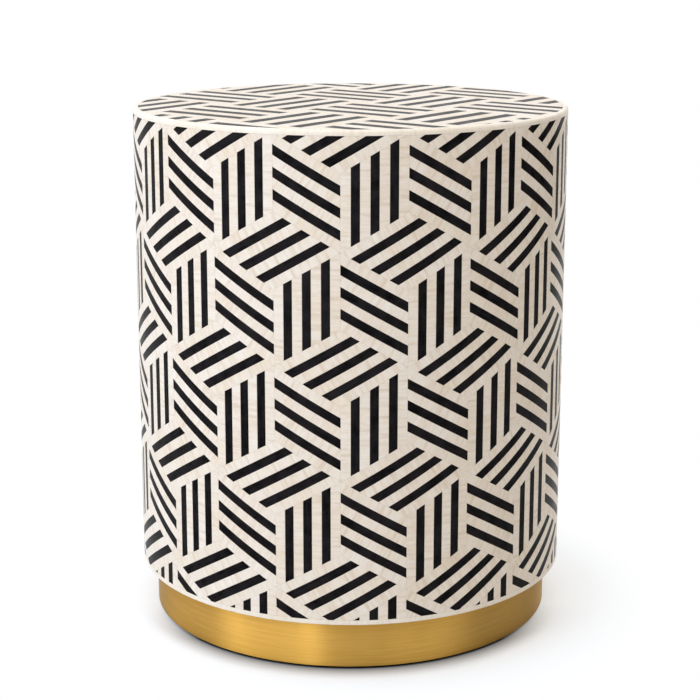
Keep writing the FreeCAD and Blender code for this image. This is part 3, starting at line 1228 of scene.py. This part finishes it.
@dataclass
class StripInlay:
    """The strip inlay: tumbling blocks on the wall and a block weave on the seat."""
    effects: SharedEffects
    wall_repeats: int = 11
    wall_turn: float = math.radians(-18.78)
    wall_corner_level: float = 358.7 * MM
    wall_columns: int = 12
    wall_seed: int = 0
    seat_block_side: float = 97.5 * MM
    seat_turn: float = math.radians(52.0)
    seat_corner: tuple[float, float, float] = (-65.5 * MM, 74.3 * MM, 0.0)
    seat_sides: int = 176
    seat_seed: int = 50

    def __post_init__(self) -> None:
        """Read the wall and the seat from their packed strips and set out both patterns."""
        self.wall = RingSpan.of(*(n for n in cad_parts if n.startswith(("wall_bone", "wall_black"))))
        self.seat = RingSpan.of(*(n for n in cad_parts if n.startswith(("top_bone", "top_black"))))
        self.tiling = TumblingBlocks.of_repeat(math.tau * self.wall.outer / self.wall_repeats)
        self.weave = BlockWeave(self.seat_block_side, self.seat_block_side)
        self.recipe = InlayRecipe()

    def materials(self, place: str, pattern: StripPattern) -> dict[StripKind, Material]:
        """Finishes of the bone and black strips of one pattern.

        Args:
            place: wall or seat, for the materials' names.
            pattern: the pattern, for the sizes of its strips.
        Returns:
            A material for each kind of strip.
        """
        bone = BoneFinish(f"{place}_bone", pattern.side, pattern.width(StripKind.BONE), pattern.lean)
        black = BlackResinFinish(f"{place}_black", pattern.side, pattern.width(StripKind.BLACK))
        finishes = {StripKind.BONE: bone, StripKind.BLACK: black}
        return {kind: finish.material(self.effects) for kind, finish in finishes.items()}

    def wall_sheet(self, kind: StripKind, lay: BlockLay) -> Form:
        """Unrolled strips of one repeat of the wall, scored so that they can bend.

        Args:
            kind: bone or black.
            lay: how the strips run.
        Returns:
            The flat sheet.
        """
        tiling, wall = self.tiling, self.wall
        form = tiling.sheet(kind, tiling.blocks(lay, wall.bottom, wall.top, self.wall_corner_level))
        cut(form, Vector((0, wall.bottom, 0)), Vector((0, -1, 0)))
        cut(form, Vector((0, wall.top, 0)), Vector((0, 1, 0)))
        tiling.ease(form)
        step = 2 * tiling.depth / self.wall_columns
        reach = [v.co.x for v in form.verts]
        for column in range(math.ceil(min(reach) / step), math.floor(max(reach) / step) + 1):
            cut(form, Vector((column * step, 0, 0)), Vector((1, 0, 0)), clear=False)
        return form

    def seat_sheet(self, kind: StripKind, lay: BlockLay) -> Form:
        """Flat strips of the whole seat, cut to its round field.

        Args:
            kind: bone or black.
            lay: how the strips run.
        Returns:
            The flat sheet.
        """
        weave, radius, corner = self.weave, self.seat.outer, Vector(self.seat_corner)
        form = weave.sheet(kind, weave.blocks(lay, radius + corner.length))
        form.transform(Matrix.Translation(corner) @ Matrix.Rotation(self.seat_turn, 4, "Z"))
        for step in range(self.seat_sides):
            outward = polar(1.0, math.tau * (step + 0.5) / self.seat_sides)
            cut(form, outward * (radius * math.cos(math.pi / self.seat_sides)), outward)
        weave.ease(form)
        return form

    def build_field(
        self,
        prefix: str,
        lays: Sequence[BlockLay],
        sheet: Callable[[StripKind, BlockLay], Form],
        materials: dict[StripKind, Material],
        first_seed: int,
        **inputs: Any,
    ) -> None:
        """Build and dress the strips of one field, one piece for each kind and lay.

        Args:
            prefix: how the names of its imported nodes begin.
            lays: the lays that the field has.
            sheet: what makes the flat strips of a kind and a lay.
            materials: a material for each kind of strip.
            first_seed: seed of the first piece.
            inputs: values of the recipe that place the strips.
        """
        pieces = [(kind, lay) for kind in StripKind for lay in lays]
        for number, (kind, lay) in enumerate(pieces):
            node = f"{prefix}_{kind.name.lower()}_{lay.value}"
            strips = new_piece(f"{node}_strips", sheet(kind, lay))
            self.recipe.apply(strips, Seed=number + first_seed, Finish=materials[kind], **inputs)
            seat_piece(strips, kind.value, node)

    def build(self) -> None:
        """Build the wall's strips and the seat's."""
        wall, seat = self.wall, self.seat
        self.build_field(
            "wall", tuple(BlockLay), self.wall_sheet, self.materials("wall", self.tiling), self.wall_seed,
            On_Wall=True, Face=wall.outer, Thickness=wall.outer - wall.inner,
            Turn=self.wall_turn, Copies=self.wall_repeats,
        )
        self.build_field(
            "top", BlockWeave.LAYS, self.seat_sheet, self.materials("seat", self.weave), self.seat_seed,
            On_Wall=False, Face=seat.top, Thickness=seat.top - seat.bottom, Copies=1,
        )


@dataclass
class BoneBands:
    """Bone rim round the seat and bone band along the wall's lower edge, in curved segments."""
    effects: SharedEffects
    copies: CopyRecipe
    segments: int = 22
    joint_gap: float = 0.03 * MM
    rim_round: float = 3.0 * MM
    rim_round_steps: int = 8
    lower_round: float = 0.5 * MM
    lower_round_steps: int = 4
    arc_steps: int = 8
    first_seed: int = 80
    girth_limit: float = 1.0
    figure: float = 0.5
    # Painted light: paler bone colours than the strips', standing for the light that the bands' edges catch.
    pale: Colour = srgb(253, 247, 236)
    warm: Colour = srgb(249, 239, 222)
    rim: RingSpan = field(default_factory=lambda: RingSpan.of("rim_segments"))
    lower: RingSpan = field(default_factory=lambda: RingSpan.of("lower_band_segments"))

    def finish(self) -> BoneFinish:
        """Finish of both bands: bone paler than the strips', which is painted light, and plainer.

        Returns:
            The finish.
        """
        arc = math.tau * self.rim.outer / self.segments - self.joint_gap
        lightened_looks = {"figure": self.figure, "pale": self.pale, "warm": self.warm}
        return BoneFinish("bone_band", arc, self.girth_limit, **lightened_looks)

    def build(self) -> None:
        """Build both bands and dress them."""
        material = self.finish().material(self.effects)
        half_gap = self.joint_gap / self.rim.outer / 2
        step = math.tau / self.segments
        sections = {
            "rim_segments": self.rim.section(self.rim_round_steps, upper=self.rim_round),
            "lower_band_segments": self.lower.section(self.lower_round_steps, lower=self.lower_round),
        }
        for number, (node, section) in enumerate(sections.items()):
            form = swept_segment(section, half_gap, step - half_gap, self.arc_steps)
            band = new_piece(node.replace("segments", "bone"), form)
            self.copies.apply(band, Copies=self.segments, Seed=number + self.first_seed, Finish=material)
            seat_piece(band, "bone_band", node)


@dataclass
class BrassPlinth:
    """Brass band round the plinth, its painted base board and its felt glides."""
    effects: SharedEffects
    copies: CopyRecipe
    seam_gap: float = 0.3 * MM
    eased_edge: float = 0.25 * MM
    edge_steps: int = 3
    arc_steps: int = 240
    glide_count: int = 6
    glide_round: float = 0.7 * MM
    glide_round_steps: int = 4
    glide_sides: int = 32
    band_seed: int = 90
    glide_seed: int = 91
    band: RingSpan = field(default_factory=lambda: RingSpan.of("brass_band"))
    glides: RingSpan = field(default_factory=lambda: RingSpan.of("glide_pads"))

    def build_band(self) -> None:
        """Build the brass band, open at its seam in the back."""
        half_gap = self.seam_gap / self.band.outer / 2
        section = self.band.section(self.edge_steps, self.eased_edge, self.eased_edge)
        form = swept_segment(section, half_gap - math.pi, math.pi - half_gap, self.arc_steps)
        sleeve = new_piece("brass_sleeve", form)
        brass = BrassFinish("brass", self.band.bottom, self.band.top - self.band.bottom)
        self.copies.apply(sleeve, Copies=1, Seed=self.band_seed, Finish=brass.material(self.effects))
        seat_piece(sleeve, "brass", "brass_band")

    def build_glides(self) -> None:
        """Build the felt glides, rounded where they meet the floor."""
        ring = self.glides
        centre, radius = (ring.inner + ring.outer) / 2, (ring.outer - ring.inner) / 2
        pad = RingSpan(0.0, radius, ring.bottom, ring.top)
        *outline, start = pad.section(self.glide_round_steps, lower=self.glide_round)
        form = lathed([start, *outline], self.glide_sides)
        bmesh.ops.translate(form, verts=form.verts, vec=polar(centre, math.pi / self.glide_count))
        pads = new_piece("felt_glides", form)
        felt = FeltFinish("felt").material(self.effects)
        self.copies.apply(pads, Copies=self.glide_count, Seed=self.glide_seed, Finish=felt)
        seat_piece(pads, "felt", "glide_pads")

    def build(self) -> None:
        """Build the band and the glides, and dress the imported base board."""
        self.build_band()
        self.build_glides()
        dress_node("base_board", PaintedBoardFinish("black_paint").material(self.effects))


@dataclass
class WoodenFrame:
    """Hidden boards, rings, hoops, posts, battens and shell of the drum, and its screws."""
    effects: SharedEffects
    boards: tuple[str, ...] = (
        "plinth_ring_1", "plinth_ring_2", "bottom_board", "top_board", "hoop_1", "hoop_2",
    )
    shells: tuple[str, ...] = ("shell_front", "shell_back")
    posts: int = 6
    battens: tuple[str, ...] = ("seam_batten_left", "seam_batten_right")
    screws: tuple[str, ...] = ("base_screws", "plinth_screws", "floor_screws", "seat_screws")

    def build(self) -> None:
        """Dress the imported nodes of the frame."""
        uprights = (*(f"post_{i + 1}" for i in range(self.posts)), *self.battens)
        self.dress(self.boards, PlywoodFinish("plywood_board", PlyLay.FLAT))
        self.dress(self.shells, PlywoodFinish("plywood_shell", PlyLay.BENT))
        self.dress(uprights, SoftwoodFinish("softwood"))
        self.dress(self.screws, SteelFinish("zinc_steel"))

    def dress(self, nodes: Iterable[str], finish: Finish) -> None:
        """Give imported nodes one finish.

        Args:
            nodes: the nodes' names.
            finish: their finish.
        """
        material = finish.material(self.effects)
        for node in nodes:
            dress_node(node, material)


# Studio

@dataclass(frozen=True)
class SoftBox:
    """Flat soft light that stands at a side of the stool and faces its axis."""
    name: str
    width: float
    distance: float
    azimuth: float
    radiance: float
    gloss_only: bool = False
    height: float = 1.55
    level: float = 0.95
    colour: tuple[float, float, float] = (0.86, 0.9, 0.97)

    def build(self) -> None:
        """Make the light, which the camera doesn't see."""
        data = bpy.data.lights.new(self.name, "AREA")
        data.shape = "RECTANGLE"
        data.size, data.size_y = self.width, self.height
        data.energy = self.radiance * math.pi * self.width * self.height
        data.color = self.colour
        box = bpy.data.objects.new(self.name, data)
        away = polar(1.0, math.radians(self.azimuth))
        box.location = away * self.distance + Vector((0.0, 0.0, self.level))
        box.rotation_euler = away.to_track_quat("Z", "Y").to_euler()
        box.visible_camera = False
        box.visible_diffuse = not self.gloss_only
        bpy.context.scene.collection.objects.link(box)


@dataclass(frozen=True)
class Studio:
    """White floor, soft sky, lights at the left, a dark flag at the right and the camera."""
    focal_pixels: float = 1727.6
    picture_pixels: float = 700.0
    camera_distance: float = 1.6778
    camera_height: float = 0.6809
    camera_pitch: float = 12.31
    camera_aside: float = -0.0005
    shift_pixels: float = -60.0
    floor_side: float = 40.0
    floor_divisions: int = 4
    floor_white: Colour = (0.5, 0.5, 0.5, 1.0)
    # Floor colour that the camera and reflections see: above 1 so that the lit floor reads white, and
    # bluish, which cools the shadow on it.
    floor_seen: Colour = (1.02, 1.09, 1.16, 1.0)
    # Radii over which the floor's real shadow is painted out with white light.
    painted_white_range: Pair = (0.2, 0.31)
    # Painted contact shadow: reach and depth of the darkening that ambient occlusion paints into the floor's
    # colour, and its share at the sides.
    painted_shadow_reach: float = 0.025
    painted_shadow_depth: float = 1.5
    painted_shadow_at_sides: float = 0.1
    side_to_front: Pair = (-0.04, -0.13)
    # Share of painted white laid over the floor's real shadow at the sides.
    painted_white_at_sides: float = 0.45
    sky_left: Colour = (0.72, 0.775, 0.88, 1.0)
    sky_right: Colour = (0.57, 0.375, 0.08, 1.0)
    sky_above: Colour = (0.75, 0.81, 0.92, 1.0)
    front_loss: float = 0.24
    right_loss: float = 0.85
    right_start: float = 0.5
    boxes: tuple[SoftBox, ...] = (
        SoftBox("soft_box", width=2.75, distance=2.2, azimuth=-46.0, radiance=1.64),
        SoftBox("near_strip", width=0.25, distance=2.1, azimuth=-22.0, radiance=3.2, gloss_only=True),
        SoftBox("far_strip", width=0.4, distance=2.1, azimuth=-66.0, radiance=2.0, gloss_only=True),
    )
    flag_width: float = 2.4
    flag_height: float = 1.6
    flag_distance: float = 1.5
    flag_azimuth: float = 94.0
    flag_pale: Colour = WHITE
    flag_dark: Colour = (0.02, 0.018, 0.016, 1.0)
    flag_grade: Pair = (-0.5, -0.26)

    def build(self) -> None:
        """Make the world, the floor, the lights, the flag and the camera, and set the view transform."""
        self.build_world()
        self.build_floor()
        for box in self.boxes:
            box.build()
        self.build_flag()
        self.build_camera()
        bpy.context.scene.view_settings.view_transform = "Standard"

    @staticmethod
    def seen_white(wiring: Wiring) -> Socket:
        """Mask of the rays that see the white ground.

        Args:
            wiring: the tree that takes it.
        Returns:
            1 for the rays of the camera, of gloss and of glass, and 0 for the others.
        """
        rays = wiring.node("ShaderNodeLightPath").outputs
        seen = wiring.math("MAXIMUM", rays["Is Camera Ray"], rays["Is Glossy Ray"])
        return wiring.math("MAXIMUM", seen, rays["Is Transmission Ray"])

    @staticmethod
    def stage_sheet(name: str, side: float, divisions: int, material_name: str) -> tuple[Piece, Wiring]:
        """Flat square sheet of the studio.

        Args:
            name: the sheet's name.
            side: length of its sides.
            divisions: how many faces it has along a side.
            material_name: its material's name.
        Returns:
            The sheet, level at the origin, and the wiring of its material.
        """
        form = bmesh.new()
        bmesh.ops.create_grid(form, x_segments=divisions, y_segments=divisions, size=side / 2)
        sheet = new_piece(name, form)
        material = bpy.data.materials.new(material_name)
        material.use_nodes = True
        sheet.data.materials.append(material)
        return sheet, Wiring(material.node_tree)

    def build_world(self) -> None:
        """Soft sky, cool on the left, dimmer in front and at the right, and white where it is seen."""
        world = bpy.data.worlds.new("studio")
        world.use_nodes = True
        wiring = Wiring(world.node_tree)
        side, ahead, up = wiring.parts(wiring.node("ShaderNodeTexCoord").outputs["Generated"])
        sky = wiring.mix(wiring.spread(side, -1.0, 1.0), self.sky_left, self.sky_right)
        sky = wiring.mix(wiring.spread(ahead, -1.0, 0.0, self.front_loss, 0.0), sky, BLACK)
        sky = wiring.mix(wiring.spread(side, self.right_start, 1.0, 0.0, self.right_loss), sky, BLACK)
        sky = wiring.mix(wiring.spread(up, 0.0, 1.0), sky, wiring.mix(1.0, sky, self.sky_above, "ADD"))
        colour = wiring.mix(self.seen_white(wiring), sky, WHITE)
        light = wiring.node("ShaderNodeBackground", {"Color": colour, "Strength": 1.0})
        wiring.node("ShaderNodeOutputWorld", {"Surface": light.outputs[0]})
        bpy.context.scene.world = world

    def build_floor(self) -> None:
        """White floor with a painted contact shadow, where ambient occlusion darkens its colour near the
        stool, more in front than at the sides; its real shadow is painted out with white away from the stool
        and at the sides.
        """
        floor, wiring = self.stage_sheet("floor", self.floor_side, self.floor_divisions, "white_floor")
        place = wiring.node("ShaderNodeTexCoord").outputs["Object"]
        _, ahead, _ = wiring.parts(place)
        # Painted contact shadow: ambient occlusion darkens the floor's colour, fully in front and less at
        # the sides.
        near = wiring.node("ShaderNodeAmbientOcclusion", {"Distance": self.painted_shadow_reach}).outputs["AO"]
        painted_shadow_colour = wiring.mix(wiring.math("POWER", near, self.painted_shadow_depth), BLACK, self.floor_seen)
        share = wiring.spread(ahead, *self.side_to_front, self.painted_shadow_at_sides, 1.0)
        ground = wiring.mix(share, self.floor_seen, painted_shadow_colour)
        # Painted light: white emission laid over the real shadow, growing away from the stool and towards
        # the sides.
        away = wiring.node("ShaderNodeVectorMath", {0: place}, operation="LENGTH").outputs["Value"]
        painted_white_aside = wiring.spread(ahead, *self.side_to_front, self.painted_white_at_sides, 0.0)
        clear = wiring.math("MAXIMUM", wiring.spread(away, *self.painted_white_range), painted_white_aside)
        plain, painted_shadow_bsdf = (
            wiring.node("ShaderNodeBsdfDiffuse", {"Color": colour}).outputs[0]
            for colour in (self.floor_white, ground)
        )
        white = wiring.node("ShaderNodeEmission").outputs[0]
        seen = wiring.node("ShaderNodeMixShader", {0: clear, 1: painted_shadow_bsdf, 2: white}).outputs[0]
        both = wiring.node("ShaderNodeMixShader", {0: self.seen_white(wiring), 1: plain, 2: seen}).outputs[0]
        wiring.node("ShaderNodeOutputMaterial", {"Surface": both})

    def build_flag(self) -> None:
        """Dark flag at the right, graded from its front edge, which only reflections see."""
        flag, wiring = self.stage_sheet("dark_flag", side=1.0, divisions=1, material_name="flag_cloth")
        away = polar(1.0, math.radians(self.flag_azimuth))
        size = Matrix.Diagonal((self.flag_width, self.flag_height, 1.0, 1.0))
        place = Matrix.Translation(away * self.flag_distance + Vector((0.0, 0.0, self.flag_height / 2)))
        flag.matrix_world = place @ away.to_track_quat("Z", "Y").to_matrix().to_4x4() @ size
        across, _, _ = wiring.parts(wiring.node("ShaderNodeTexCoord").outputs["Object"])
        shade = wiring.mix(wiring.spread(across, *self.flag_grade), self.flag_pale, self.flag_dark)
        cloth = wiring.node("ShaderNodeEmission", {"Color": shade}).outputs[0]
        wiring.node("ShaderNodeOutputMaterial", {"Surface": cloth})
        for rays in ("camera", "diffuse", "shadow", "transmission"):
            setattr(flag, f"visible_{rays}", False)

    def build_camera(self) -> None:
        """Camera at the photograph's place."""
        data = bpy.data.cameras.new("camera")
        data.lens = self.focal_pixels / self.picture_pixels * data.sensor_width
        data.shift_y = self.shift_pixels / self.picture_pixels
        camera = bpy.data.objects.new("camera", data)
        camera.location = (self.camera_aside, -self.camera_distance, self.camera_height)
        camera.rotation_euler = (math.radians(90.0 - self.camera_pitch), 0.0, 0.0)
        bpy.context.scene.collection.objects.link(camera)
        bpy.context.scene.camera = camera


def main() -> None:
    logging.basicConfig(level=logging.INFO, format="%(message)s")
    effects = SharedEffects()
    copies = CopyRecipe()
    StripInlay(effects).build()
    BoneBands(effects, copies).build()
    BrassPlinth(effects, copies).build()
    WoodenFrame(effects).build()
    Studio().build()


if __name__ == "__main__":
    main()
